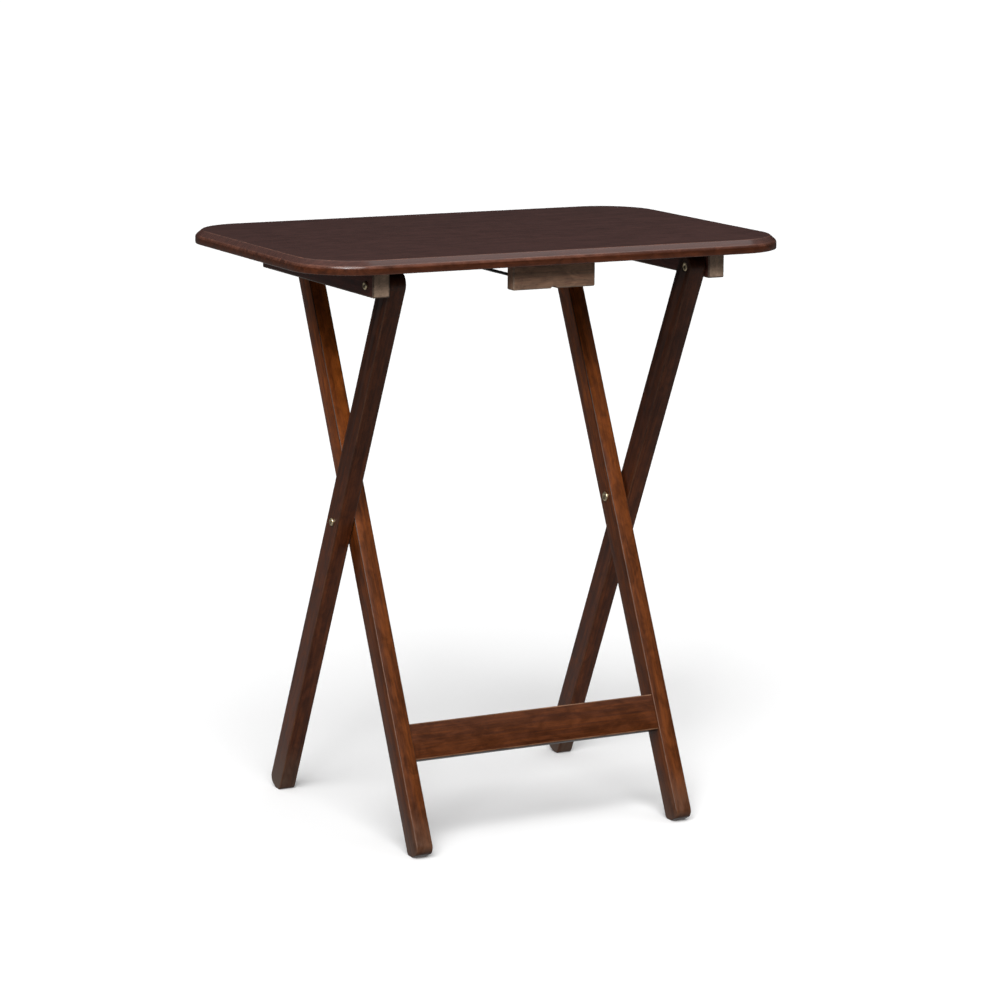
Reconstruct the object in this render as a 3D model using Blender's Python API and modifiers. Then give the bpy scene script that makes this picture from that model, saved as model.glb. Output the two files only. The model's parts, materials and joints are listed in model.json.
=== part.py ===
"""Folding tray table: a chamfered top on two crossed pairs of legs.

X runs along the top, Y from its front (-) to its back (+), Z up from the floor. Metres.
The outer legs are hinged to the cleats near the front. The inner legs carry the back of the top.
"""

from math import asin, cos, hypot, pi, radians, sin

import bmesh
import bpy
from mathutils import Matrix, Vector

# Overall sizes
TOP_LENGTH = 0.584
TOP_DEPTH = 0.386
TABLE_HEIGHT = 0.656
TOP_PAST_CLEATS = 0.0777
PIVOT_BEHIND_FRONT = 0.050245

# Clearances
FIT_GAP = 0.0003
PIVOT_GAP = 0.0014

# Tabletop
TOP_THICKNESS = 0.0148
TOP_CORNER_RADIUS = 0.070
CHAMFER_IN = 0.0074
CHAMFER_DOWN = 0.0062
ARRIS = 0.0008
CORNER_STEPS = 10

# Legs
LEG_WIDTH = 0.027
LEG_THICKNESS = 0.0195
LEG_TILT = radians(25.4)
UPPER_ARM = 0.3095
FOOT_RADIUS = 0.009
FOOT_TRIM = 0.0012
LEG_TOP_GAP = 0.0007
LEG_TOP_STEPS = 18
FOOT_STEPS = 7

# Cleats and front block
PIVOT_DROP = 0.0172
CLEAT_THICKNESS = 0.020
CLEAT_HEIGHT = 0.0292
CLEAT_PAST_PIVOT = 0.0172
CLEAT_SHORT_OF_BACK = 0.064
CLEAT_BEVEL = 0.0012
BLOCK_LENGTH = 0.100
BLOCK_DEPTH = 0.0145
BLOCK_HEIGHT = 0.0295
BLOCK_AHEAD = 0.0057
BLOCK_GROOVE_RADIUS = 0.0042
BLOCK_GROOVE_DEPTH = 0.0030
BLOCK_BEVEL = 0.0015

# Inner frame's cross members
STRETCHER_HEIGHT = 0.0405
STRETCHER_THICKNESS = 0.014
STRETCHER_UP_LEG = 0.1248
STRETCHER_INSET = 0.0015
STRETCHER_BEVEL = 0.0012
ROD_RADIUS = 0.0035
ROD_FORWARD = 0.006
ROD_CLEARANCE = 0.0005
ROD_SOCKET = 0.010
DOWEL_RADIUS = 0.003
DOWEL_REACH = 0.011
DOWEL_SPACING = 0.020

# Stay wire
WIRE_RADIUS = 0.00175
WIRE_DROP = 0.0145
WIRE_HALF_SPAN = 0.0445
WIRE_SOCKET = 0.010
WIRE_OVER_ROD = 0.0015
WIRE_SLOPE_LENGTH = 0.0816
WIRE_BEND = 0.0042
WIRE_BEND_STEPS = 4

# Hardware
BARREL_RADIUS = 0.0035
BOLT_RADIUS = 0.0023
NUT_HEAD_RADIUS = 0.0055
BOLT_HEAD_RADIUS = 0.0045
HEAD_HEIGHT = 0.0020
DRIVE_RADIUS = 0.0016
DRIVE_DEPTH = 0.0012
BORE_END = 0.003
SLEEVE_SHORT = 0.002
BOLT_SHORT = 0.002
THROUGH_HOLE = 0.06
WASHER_RADIUS = 0.0075
SCREW_RADIUS = 0.0018
SCREW_HEAD_RADIUS = 0.0038
SCREW_HEAD_HEIGHT = 0.0026
SCREW_HEAD_RIM = 0.0004
SHANK_HOLE_EXTRA = 0.01
SCREW_INTO_TOP = 0.009
SCREW_HEAD_DEPTH = 0.006
CLEAT_SCREW_FROM_FRONT = 0.065
CLEAT_SCREW_FROM_BACK = 0.039
BLOCK_SCREW_X = 0.024

# Places that follow from the sizes
UNDERSIDE_Z = TABLE_HEIGHT - TOP_THICKNESS
PIVOT_Z = UNDERSIDE_Z - PIVOT_DROP
PIVOT_Y = PIVOT_BEHIND_FRONT - TOP_DEPTH / 2
CROSS_Z = PIVOT_Z - UPPER_ARM * cos(LEG_TILT)
CROSS_Y = PIVOT_Y + UPPER_ARM * sin(LEG_TILT)
HALF_LEG = LEG_WIDTH / 2
CLEAT_OUT = TOP_LENGTH / 2 - TOP_PAST_CLEATS
CLEAT_IN = CLEAT_OUT - CLEAT_THICKNESS
OUTER_LEG_OUT = CLEAT_IN - PIVOT_GAP
OUTER_LEG_IN = OUTER_LEG_OUT - LEG_THICKNESS
INNER_LEG_OUT = OUTER_LEG_IN - PIVOT_GAP
INNER_LEG_IN = INNER_LEG_OUT - LEG_THICKNESS
CLEAT_FRONT_Y = PIVOT_Y - CLEAT_PAST_PIVOT
CLEAT_BACK_Y = TOP_DEPTH / 2 - CLEAT_SHORT_OF_BACK
BLOCK_BACK_Y = PIVOT_Y - BLOCK_AHEAD
BLOCK_FRONT_Y = BLOCK_BACK_Y - BLOCK_DEPTH
WIRE_Z = UNDERSIDE_Z - WIRE_DROP
# The rod passes outside the circle that the block's lower front corner sweeps about the pivot.
BLOCK_SWEEP = hypot(BLOCK_AHEAD + BLOCK_DEPTH, BLOCK_HEIGHT - PIVOT_DROP)
ROD_FROM_PIVOT = BLOCK_SWEEP + ROD_CLEARANCE + ROD_RADIUS
ROD_BELOW_PIVOT = ROD_FROM_PIVOT * cos(asin(ROD_FORWARD / ROD_FROM_PIVOT))
STRETCHER_BELOW_CROSS = CROSS_Z / cos(LEG_TILT) - STRETCHER_UP_LEG
# The inner legs are longer above the cross, so that their round ends reach the underside.
INNER_UPPER_ARM = UPPER_ARM + (PIVOT_DROP - HALF_LEG - LEG_TOP_GAP) / cos(LEG_TILT)

SIDES = (("left", -1), ("right", 1))


def clear_scene():
    for thing in list(bpy.data.objects):
        bpy.data.objects.remove(thing, do_unlink=True)


def make_collection(name):
    group = bpy.data.collections.new(name)
    bpy.context.scene.collection.children.link(group)
    return group


def make_material(name, colour, roughness, metallic=0.0):
    material = bpy.data.materials.new(name)
    material.use_nodes = True
    shader = material.node_tree.nodes["Principled BSDF"]
    shader.inputs["Base Color"].default_value = (*colour, 1.0)
    shader.inputs["Roughness"].default_value = roughness
    shader.inputs["Metallic"].default_value = metallic
    return material


def add_object(name, mesh, group, parent=None):
    thing = bpy.data.objects.new(name, mesh)
    group.objects.link(thing)
    thing.parent = parent
    return thing


def mesh_from(name, bm):
    bmesh.ops.recalc_face_normals(bm, faces=bm.faces)
    mesh = bpy.data.meshes.new(name)
    bm.to_mesh(mesh)
    bm.free()
    return mesh


def add_bevel(thing, width, segments=2):
    bevel = thing.modifiers.new("Rounded edges", "BEVEL")
    bevel.width = width
    bevel.segments = segments
    bevel.limit_method = "ANGLE"
    bevel.angle_limit = radians(40)
    bevel.use_clamp_overlap = False


def arc(centre, radius, start, end, steps):
    """Points on an arc, its angles in degrees, both ends included."""
    angles = [radians(start + (end - start) * i / steps) for i in range(steps + 1)]
    return [(centre[0] + radius * cos(a), centre[1] + radius * sin(a)) for a in angles]


def box_mesh(name, low, high):
    bm = bmesh.new()
    bmesh.ops.create_cube(bm, size=1.0)
    size = Vector(high) - Vector(low)
    bmesh.ops.scale(bm, vec=size, verts=bm.verts)
    bmesh.ops.translate(bm, vec=(Vector(high) + Vector(low)) / 2, verts=bm.verts)
    return mesh_from(name, bm)


def cylinder_mesh(name, radius, length, axis, segments=24):
    """A cylinder centred on its origin, along the world X, Y or Z that axis names."""
    bm = bmesh.new()
    bmesh.ops.create_cone(bm, cap_ends=True, segments=segments, radius1=radius, radius2=radius, depth=length)
    if axis == "X":
        bmesh.ops.rotate(bm, matrix=Matrix.Rotation(pi / 2, 3, "Y"), verts=bm.verts)
    if axis == "Y":
        bmesh.ops.rotate(bm, matrix=Matrix.Rotation(pi / 2, 3, "X"), verts=bm.verts)
    return mesh_from(name, bm)


def shade_round(mesh, angle=35):
    mesh.shade_smooth()
    mesh.set_sharp_from_angle(angle=radians(angle))


def turned(name, profile, material, group, parent, place, along_x, steps=24):
    """Spins a (radius, height) profile, top to bottom, then lays its axis along X, up for along_x = +1."""
    mesh = bpy.data.meshes.new(name)
    closed = profile[0] == profile[-1]
    points = profile[:-1] if closed else profile
    edges = [(i, i + 1) for i in range(len(points) - 1)]
    if closed:
        edges.append((len(points) - 1, 0))
    mesh.from_pydata([(radius, 0.0, height) for radius, height in points], edges, [])
    thing = add_object(name, mesh, group, parent)
    thing.location = place
    if along_x:
        thing.rotation_euler = (0.0, along_x * pi / 2, 0.0)
    screw = thing.modifiers.new("Turned", "SCREW")
    screw.steps = steps
    screw.render_steps = steps
    screw.use_merge_vertices = True
    screw.merge_threshold = 0.00001
    screw.use_smooth_shade = True
    mesh.materials.append(material)
    return thing


def cut(thing, cutter, label):
    boolean = thing.modifiers.new(label, "BOOLEAN")
    boolean.operation = "DIFFERENCE"
    boolean.solver = "EXACT"
    boolean.object = cutter


def hole(thing, name, radius, length, axis, place, segments=24):
    """Drills a hole centred at a place in the world, whatever the piece's own turn is."""
    cutter = add_object(name, cylinder_mesh(name, radius, length, axis, segments), CUTTERS)
    cutter.location = place
    cutter.hide_render = True
    cutter.display_type = "WIRE"
    cut(thing, cutter, name)


# Frames of the moving pieces

clear_scene()
PARTS = make_collection("folding_tray_table")
CUTTERS = make_collection("cutters")


def make_empty(name, place):
    empty = bpy.data.objects.new(name, None)
    empty.empty_display_size = 0.05
    empty.location = place
    PARTS.objects.link(empty)
    return empty


TOP_HINGE = make_empty("top_hinge", (0.0, PIVOT_Y, PIVOT_Z))
CROSS_HINGE = make_empty("cross_hinge", (0.0, CROSS_Y, CROSS_Z))

WOOD_TOP = make_material("espresso_top", (0.052, 0.025, 0.021), 0.32)
WOOD_LEG = make_material("espresso_legs", (0.095, 0.026, 0.010), 0.42)
WOOD_RAW = make_material("thin_stained_wood", (0.070, 0.048, 0.036), 0.65)
WOOD_DOWEL = make_material("pale_beech", (0.52, 0.36, 0.20), 0.7)
BRASS = make_material("brass_plated_steel", (0.55, 0.42, 0.22), 0.35, 1.0)
BLACK_STEEL = make_material("black_steel_wire", (0.012, 0.012, 0.012), 0.45, 0.6)
ZINC = make_material("zinc_plated_steel", (0.50, 0.50, 0.48), 0.4, 1.0)
NYLON = make_material("dark_nylon", (0.03, 0.03, 0.03), 0.55)


def on_top(x, y, z):
    """A place in the world, as a location under the top's hinge."""
    return (x, y - PIVOT_Y, z - PIVOT_Z)


def on_cross(x, y, z):
    """A place in the world, as a location under the legs' hinge."""
    return (x, y - CROSS_Y, z - CROSS_Z)


# Tabletop


def top_outline(inset):
    """The rounded rectangle, anticlockwise, moved in by inset."""
    radius = TOP_CORNER_RADIUS - inset
    corner_x = TOP_LENGTH / 2 - TOP_CORNER_RADIUS
    corner_y = TOP_DEPTH / 2 - TOP_CORNER_RADIUS
    points = []
    for turn, (sx, sy) in enumerate(((1, 1), (-1, 1), (-1, -1), (1, -1))):
        points += arc((sx * corner_x, sy * corner_y), radius, turn * 90, turn * 90 + 90, CORNER_STEPS)
    return points


def make_tabletop():
    bm = bmesh.new()
    layers = (
        (UNDERSIDE_Z, ARRIS),
        (UNDERSIDE_Z + ARRIS, 0.0),
        (TABLE_HEIGHT - CHAMFER_DOWN, 0.0),
        (TABLE_HEIGHT, CHAMFER_IN),
    )
    first = [bm.verts.new((x, y, layers[0][0])) for x, y in top_outline(layers[0][1])]
    face = bm.faces.new(first)
    for height, inset in layers[1:]:
        # Each layer is the last one extruded, then drawn in or out to its own outline.
        face = bmesh.ops.extrude_discrete_faces(bm, faces=[face])["faces"][0]
        for vert, (x, y) in zip(face.verts, top_outline(inset)):
            vert.co = (x, y, height)
    bm.faces.new(list(reversed(first)))
    bmesh.ops.translate(bm, vec=(0.0, -PIVOT_Y, -PIVOT_Z), verts=bm.verts)
    mesh = mesh_from("tabletop", bm)
    shade_round(mesh)
    mesh.materials.append(WOOD_TOP)
    return add_object("tabletop", mesh, PARTS, TOP_HINGE)


tabletop = make_tabletop()


# Cleats under the top, and the screws that hold them


def screw_up(name, x, y, seat_z, thing):
    """A countersunk screw driven up through thing into the top. seat_z is the face it enters."""
    head_z = seat_z + SCREW_HEAD_DEPTH
    tip_z = UNDERSIDE_Z + SCREW_INTO_TOP
    profile = [
        (0.0, tip_z - head_z),
        (SCREW_RADIUS, tip_z - head_z - SCREW_RADIUS),
        (SCREW_RADIUS, SCREW_HEAD_HEIGHT),
        (SCREW_HEAD_RADIUS, SCREW_HEAD_RIM),
        (SCREW_HEAD_RADIUS, 0.0),
        (DRIVE_RADIUS, 0.0),
        (0.0, DRIVE_DEPTH),
    ]
    turned(name, profile, ZINC, PARTS, TOP_HINGE, on_top(x, y, head_z), 0, 16)
    clearance = SCREW_RADIUS + FIT_GAP
    hole(tabletop, f"{name}_pilot", clearance, 2 * (SCREW_INTO_TOP + FIT_GAP), "Z", (x, y, UNDERSIDE_Z), 16)
    middle_z = (seat_z + UNDERSIDE_Z) / 2
    shank_length = UNDERSIDE_Z - seat_z + SHANK_HOLE_EXTRA
    hole(thing, f"{name}_shank_hole", clearance, shank_length, "Z", (x, y, middle_z), 16)
    sink = SCREW_HEAD_DEPTH + SCREW_HEAD_HEIGHT + FIT_GAP
    hole(thing, f"{name}_head_hole", SCREW_HEAD_RADIUS + FIT_GAP, 2 * sink, "Z", (x, y, seat_z), 16)


def make_cleat(side, sign):
    low_x, high_x = sorted((sign * CLEAT_IN, sign * CLEAT_OUT))
    bottom = UNDERSIDE_Z - CLEAT_HEIGHT
    low = on_top(low_x, CLEAT_FRONT_Y, bottom)
    high = on_top(high_x, CLEAT_BACK_Y, UNDERSIDE_Z - FIT_GAP)
    mesh = box_mesh(f"cleat_{side}", low, high)
    mesh.materials.append(WOOD_RAW)
    cleat = add_object(f"cleat_{side}", mesh, PARTS, TOP_HINGE)
    add_bevel(cleat, CLEAT_BEVEL)
    middle_x = sign * (CLEAT_IN + CLEAT_OUT) / 2
    front_y = CLEAT_FRONT_Y + CLEAT_SCREW_FROM_FRONT
    back_y = CLEAT_BACK_Y - CLEAT_SCREW_FROM_BACK
    for end, y in (("front", front_y), ("back", back_y)):
        screw_up(f"cleat_screw_{side}_{end}", middle_x, y, bottom, cleat)
    return cleat


cleats = {side: make_cleat(side, sign) for side, sign in SIDES}


# Front block, with the sockets for the stay wire


def make_block():
    bottom = UNDERSIDE_Z - BLOCK_HEIGHT
    low = on_top(-BLOCK_LENGTH / 2, BLOCK_FRONT_Y, bottom)
    high = on_top(BLOCK_LENGTH / 2, BLOCK_BACK_Y, UNDERSIDE_Z - FIT_GAP)
    mesh = box_mesh("front_block", low, high)
    mesh.materials.append(WOOD_RAW)
    block = add_object("front_block", mesh, PARTS, TOP_HINGE)
    add_bevel(block, BLOCK_BEVEL)
    middle_y = (BLOCK_FRONT_Y + BLOCK_BACK_Y) / 2
    groove_z = bottom - BLOCK_GROOVE_RADIUS + BLOCK_GROOVE_DEPTH
    hole(block, "block_groove", BLOCK_GROOVE_RADIUS, 2 * BLOCK_DEPTH, "Y", (0.0, middle_y, groove_z), 20)
    for side, sign in SIDES:
        socket = (sign * WIRE_HALF_SPAN, BLOCK_BACK_Y, WIRE_Z)
        length = 2 * (WIRE_SOCKET + FIT_GAP)
        hole(block, f"wire_socket_{side}", WIRE_RADIUS + FIT_GAP, length, "Y", socket, 16)
        screw_up(f"block_screw_{side}", sign * BLOCK_SCREW_X, middle_y, bottom, block)
    return block


front_block = make_block()


# Legs


def foot_end(arm_drop):
    """How far the squared end lies from the cross, so that trimming it level leaves a flat foot."""
    corner = (HALF_LEG - FOOT_RADIUS) * sin(LEG_TILT)
    return (arm_drop - corner + FOOT_RADIUS * cos(LEG_TILT) - FOOT_RADIUS + FOOT_TRIM) / cos(LEG_TILT)


def leg_outline(upper_arm):
    """The leg seen from its side, in its own Y and Z, with the cross at the origin."""
    points = arc((0.0, upper_arm), HALF_LEG, 0, 180, LEG_TOP_STEPS)
    end = -foot_end(CROSS_Z)
    inner = HALF_LEG - FOOT_RADIUS
    points += arc((-inner, end + FOOT_RADIUS), FOOT_RADIUS, 180, 270, FOOT_STEPS)
    points += arc((inner, end + FOOT_RADIUS), FOOT_RADIUS, 270, 360, FOOT_STEPS)
    return points


def make_leg(name, upper_arm, low_x, high_x, turn):
    bm = bmesh.new()
    face = bm.faces.new([bm.verts.new((low_x, y, z)) for y, z in leg_outline(upper_arm)])
    extruded = bmesh.ops.extrude_face_region(bm, geom=[face])
    moved = [part for part in extruded["geom"] if isinstance(part, bmesh.types.BMVert)]
    bmesh.ops.translate(bm, vec=(high_x - low_x, 0.0, 0.0), verts=moved)
    floor_normal = Vector((0.0, sin(turn), cos(turn)))
    sliced = bmesh.ops.bisect_plane(
        bm,
        geom=bm.verts[:] + bm.edges[:] + bm.faces[:],
        plane_co=Vector((0.0, 0.0, -CROSS_Z / cos(turn))),
        plane_no=floor_normal,
        clear_inner=True,
    )
    rim = [part for part in sliced["geom_cut"] if isinstance(part, bmesh.types.BMEdge)]
    bmesh.ops.holes_fill(bm, edges=rim)
    mesh = mesh_from(name, bm)
    mesh.materials.append(WOOD_LEG)
    leg = add_object(name, mesh, PARTS, CROSS_HINGE)
    leg.rotation_euler = (turn, 0.0, 0.0)
    add_bevel(leg, ARRIS)
    return leg


def legs_of(frame, upper_arm, inner_x, outer_x, turn):
    made = {}
    for side, sign in SIDES:
        low_x, high_x = sorted((sign * inner_x, sign * outer_x))
        made[side] = make_leg(f"{frame}_leg_{side}", upper_arm, low_x, high_x, turn)
    return made


outer_legs = legs_of("outer", UPPER_ARM, OUTER_LEG_IN, OUTER_LEG_OUT, LEG_TILT)
inner_legs = legs_of("inner", INNER_UPPER_ARM, INNER_LEG_IN, INNER_LEG_OUT, -LEG_TILT)


# Pivot hardware: a bolt from the outside, a sleeve nut from the inside, and a washer in each gap


def dome(radius, height):
    """A domed head above its seat at height 0, from the driver recess out to the rim."""
    return [
        (0.0, height - DRIVE_DEPTH),
        (DRIVE_RADIUS, height - DRIVE_DEPTH),
        (DRIVE_RADIUS, height),
        (radius * 0.62, height * 0.92),
        (radius * 0.90, height * 0.62),
        (radius, height * 0.25),
        (radius, 0.0),
    ]


def make_pivot(joint, side, sign, centre, inner_x, outer_x, parent, to_parent, sunk):
    """The bolt, the sleeve nut and the washer of one pivot, between two faces at inner_x and outer_x."""
    _, y, z = centre
    seat = inner_x + (HEAD_HEIGHT + FIT_GAP if sunk else -FIT_GAP)
    reach = outer_x - FIT_GAP - SLEEVE_SHORT - seat
    sleeve = dome(NUT_HEAD_RADIUS, HEAD_HEIGHT) + [
        (BARREL_RADIUS, 0.0),
        (BARREL_RADIUS, -reach),
        (BOLT_RADIUS + FIT_GAP, -reach),
        (BOLT_RADIUS + FIT_GAP, -BORE_END),
        (0.0, -BORE_END),
    ]
    seat_place = to_parent(sign * seat, y, z)
    turned(f"{joint}_sleeve_nut_{side}", sleeve, BRASS, PARTS, parent, seat_place, -sign)
    shank = outer_x + FIT_GAP - seat - BORE_END - BOLT_SHORT
    head = dome(BOLT_HEAD_RADIUS, HEAD_HEIGHT)
    bolt = head + [(BOLT_RADIUS, 0.0), (BOLT_RADIUS, -shank), (0.0, -shank)]
    head_place = to_parent(sign * (outer_x + FIT_GAP), y, z)
    turned(f"{joint}_bolt_{side}", bolt, BRASS, PARTS, parent, head_place, sign)


def make_washer(name, sign, gap_x, y, z, parent, to_parent):
    half = PIVOT_GAP / 2 - FIT_GAP
    bore = BARREL_RADIUS + FIT_GAP
    rim = (WASHER_RADIUS, half)
    ring = [rim, (WASHER_RADIUS, -half), (bore, -half), (bore, half), rim]
    middle_x = sign * (gap_x + PIVOT_GAP / 2)
    turned(name, ring, NYLON, PARTS, parent, to_parent(middle_x, y, z), sign)


for side, sign in SIDES:
    top_pivot = (0.0, PIVOT_Y, PIVOT_Z)
    cross = (0.0, CROSS_Y, CROSS_Z)
    make_pivot("top_pivot", side, sign, top_pivot, OUTER_LEG_IN, CLEAT_OUT, TOP_HINGE, on_top, True)
    make_pivot("cross", side, sign, cross, INNER_LEG_IN, OUTER_LEG_OUT, CROSS_HINGE, on_cross, False)
    make_washer(f"top_pivot_washer_{side}", sign, OUTER_LEG_OUT, PIVOT_Y, PIVOT_Z, TOP_HINGE, on_top)
    make_washer(f"cross_washer_{side}", sign, INNER_LEG_OUT, CROSS_Y, CROSS_Z, CROSS_HINGE, on_cross)
    bore = BARREL_RADIUS + FIT_GAP
    leg, cleat, inner_leg = outer_legs[side], cleats[side], inner_legs[side]
    at_top_pivot = (sign * OUTER_LEG_IN, PIVOT_Y, PIVOT_Z)
    at_cleat = (sign * CLEAT_IN, PIVOT_Y, PIVOT_Z)
    at_cross = (sign * INNER_LEG_OUT, CROSS_Y, CROSS_Z)
    head_sink = 2 * (HEAD_HEIGHT + 2 * FIT_GAP)
    hole(leg, f"top_pivot_hole_{side}", bore, THROUGH_HOLE, "X", at_top_pivot)
    hole(leg, f"top_pivot_sink_{side}", NUT_HEAD_RADIUS + FIT_GAP, head_sink, "X", at_top_pivot)
    hole(cleat, f"cleat_pivot_hole_{side}", bore, THROUGH_HOLE, "X", at_cleat)
    hole(leg, f"outer_cross_hole_{side}", bore, THROUGH_HOLE, "X", at_cross)
    hole(inner_leg, f"inner_cross_hole_{side}", bore, THROUGH_HOLE, "X", at_cross)


# Inner frame's foot stretcher with its dowels, and the cross rod


def on_inner_leg(forward, below_cross):
    """A place in the world at a distance in front of the inner legs' middle line and down from the cross."""
    y = CROSS_Y - forward * cos(LEG_TILT) - below_cross * sin(LEG_TILT)
    z = CROSS_Z + forward * sin(LEG_TILT) - below_cross * cos(LEG_TILT)
    return y, z


def make_stretcher():
    half_span = INNER_LEG_IN - FIT_GAP
    forward = HALF_LEG - STRETCHER_INSET - STRETCHER_THICKNESS / 2
    low = (-half_span, -forward - STRETCHER_THICKNESS / 2, -STRETCHER_BELOW_CROSS - STRETCHER_HEIGHT / 2)
    high = (half_span, -forward + STRETCHER_THICKNESS / 2, -STRETCHER_BELOW_CROSS + STRETCHER_HEIGHT / 2)
    mesh = box_mesh("foot_stretcher", low, high)
    mesh.materials.append(WOOD_LEG)
    stretcher = add_object("foot_stretcher", mesh, PARTS, CROSS_HINGE)
    stretcher.rotation_euler = (-LEG_TILT, 0.0, 0.0)
    add_bevel(stretcher, STRETCHER_BEVEL)
    for side, sign in SIDES:
        for level, step in (("upper", -0.5), ("lower", 0.5)):
            name = f"stretcher_dowel_{side}_{level}"
            y, z = on_inner_leg(forward, STRETCHER_BELOW_CROSS + step * DOWEL_SPACING)
            joint_x = sign * INNER_LEG_IN
            dowel_mesh = cylinder_mesh(name, DOWEL_RADIUS, 2 * DOWEL_REACH, "X", 16)
            shade_round(dowel_mesh)
            dowel_mesh.materials.append(WOOD_DOWEL)
            dowel = add_object(name, dowel_mesh, PARTS, CROSS_HINGE)
            dowel.location = on_cross(joint_x, y, z)
            bore = DOWEL_RADIUS + FIT_GAP
            depth = 2 * (DOWEL_REACH + FIT_GAP)
            for thing in (stretcher, inner_legs[side]):
                hole(thing, f"{name}_hole_{thing.name}", bore, depth, "X", (joint_x, y, z), 16)
    return stretcher


foot_stretcher = make_stretcher()

ROD_Y, ROD_Z = on_inner_leg(ROD_FORWARD, ROD_BELOW_PIVOT - UPPER_ARM)


def make_rod():
    half_length = INNER_LEG_IN + ROD_SOCKET - FIT_GAP
    mesh = cylinder_mesh("cross_rod", ROD_RADIUS, 2 * half_length, "X", 24)
    shade_round(mesh)
    mesh.materials.append(BLACK_STEEL)
    rod = add_object("cross_rod", mesh, PARTS, CROSS_HINGE)
    rod.location = on_cross(0.0, ROD_Y, ROD_Z)
    for side, sign in SIDES:
        place = (sign * INNER_LEG_IN, ROD_Y, ROD_Z)
        hole(inner_legs[side], f"rod_socket_{side}", ROD_RADIUS + FIT_GAP, 2 * ROD_SOCKET, "X", place)
    return rod


cross_rod = make_rod()


# Stay wire: from the block's back, over the rod and down behind it


def rounded_path(corners, radius, steps):
    """The corners joined by straight runs, each inner corner replaced by an arc of the radius."""
    points = [corners[0]]
    for before, corner, after in zip(corners, corners[1:], corners[2:]):
        into = (corner - before).normalized()
        out = (after - corner).normalized()
        half = into.angle(out) / 2
        setback = radius * sin(half) / cos(half)
        start = corner - into * setback
        inward = (out - into).normalized()
        centre = corner + inward * (radius / cos(half))
        axis = into.cross(out).normalized()
        spoke = start - centre
        for i in range(steps + 1):
            points.append(centre + Matrix.Rotation(2 * half * i / steps, 3, axis) @ spoke)
    points.append(corners[-1])
    return points


def make_stay_wire():
    hook_y = ROD_Y + ROD_RADIUS + WIRE_RADIUS + FIT_GAP
    over_z = ROD_Z + ROD_RADIUS + WIRE_RADIUS + WIRE_OVER_ROD
    corners = [
        Vector((-WIRE_HALF_SPAN, BLOCK_BACK_Y - WIRE_SOCKET, WIRE_Z)),
        Vector((-WIRE_HALF_SPAN, hook_y - WIRE_SLOPE_LENGTH, WIRE_Z)),
        Vector((-WIRE_HALF_SPAN, hook_y, over_z)),
        Vector((-WIRE_HALF_SPAN, hook_y, ROD_Z - WIRE_RADIUS)),
    ]
    corners += [Vector((-p.x, p.y, p.z)) for p in reversed(corners)]
    path = rounded_path(corners, WIRE_BEND, WIRE_BEND_STEPS)
    curve = bpy.data.curves.new("stay_wire", "CURVE")
    curve.dimensions = "3D"
    curve.bevel_depth = WIRE_RADIUS
    curve.bevel_resolution = 2
    curve.use_fill_caps = True
    spline = curve.splines.new("POLY")
    spline.points.add(len(path) - 1)
    for point, place in zip(spline.points, path):
        point.co = (*on_top(*place), 1.0)
    curve.materials.append(BLACK_STEEL)
    return add_object("stay_wire", curve, PARTS, TOP_HINGE)


stay_wire = make_stay_wire()
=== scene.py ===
"""A folding tray table in stained wood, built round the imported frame, piece by piece."""

import json
from math import cos, pi, radians, sin

import bmesh
import bpy
from mathutils import Matrix, Vector


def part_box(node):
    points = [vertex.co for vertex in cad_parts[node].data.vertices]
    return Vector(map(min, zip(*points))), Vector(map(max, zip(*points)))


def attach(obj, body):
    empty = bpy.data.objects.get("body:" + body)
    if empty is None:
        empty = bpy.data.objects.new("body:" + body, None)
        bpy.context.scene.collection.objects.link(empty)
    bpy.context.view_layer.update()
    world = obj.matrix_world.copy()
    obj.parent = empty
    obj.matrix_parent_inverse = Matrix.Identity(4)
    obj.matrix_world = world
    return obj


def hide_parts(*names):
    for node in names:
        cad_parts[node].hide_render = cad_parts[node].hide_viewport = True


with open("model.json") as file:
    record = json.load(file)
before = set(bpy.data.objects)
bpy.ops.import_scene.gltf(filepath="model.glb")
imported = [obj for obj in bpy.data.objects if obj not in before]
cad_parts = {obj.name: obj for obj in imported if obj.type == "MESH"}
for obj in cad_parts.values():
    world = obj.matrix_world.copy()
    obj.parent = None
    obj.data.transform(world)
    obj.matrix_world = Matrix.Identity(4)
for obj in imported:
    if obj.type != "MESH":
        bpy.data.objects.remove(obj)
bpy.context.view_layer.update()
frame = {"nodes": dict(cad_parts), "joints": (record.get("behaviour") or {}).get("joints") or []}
nodes = frame["nodes"]

# ---- Outer legs ----
# Two square-cut hardwood legs, rounded over at the top where the cleats hang from them and
# They are planed, the arrises rubbed round, bored for the pivots, then stained a warm brown and sprayed
# with a satin lacquer. Their arrises take a lighter finish, partly where the lacquer thins out along the
# edges and partly a painted highlight line; a thin strip where the head starts to round over is a painted
# highlight line, and the stain darkens towards the top as painted shade.

hinge_at = {joint["name"]: Vector(joint["pos_m"]) for joint in frame["joints"]}
cross = hinge_at["leg_fold"]
top_pivot = hinge_at["top_hinge"]
along_x = Vector((1.0, 0.0, 0.0))
upright = Vector((0.0, 0.0, 1.0))
arm = top_pivot - cross
arm.x = 0.0
leg_tilt = arm.angle(upright)
leg_width = 0.027
half_width = leg_width / 2
head_crown_flat = 0.00015
painted_highlight_strip = 0.0015
leg_arris = 0.0011
foot_round = 0.009
foot_trim = 0.0012
sides = {"left": -1, "right": 1}


def deselect():
    if bpy.context.object and bpy.context.object.mode != "OBJECT":
        bpy.ops.object.mode_set(mode="OBJECT")
    bpy.ops.object.select_all(action="DESELECT")


def take(piece):
    """Makes a piece the only one selected."""
    deselect()
    piece.select_set(True)
    bpy.context.view_layer.objects.active = piece


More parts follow.
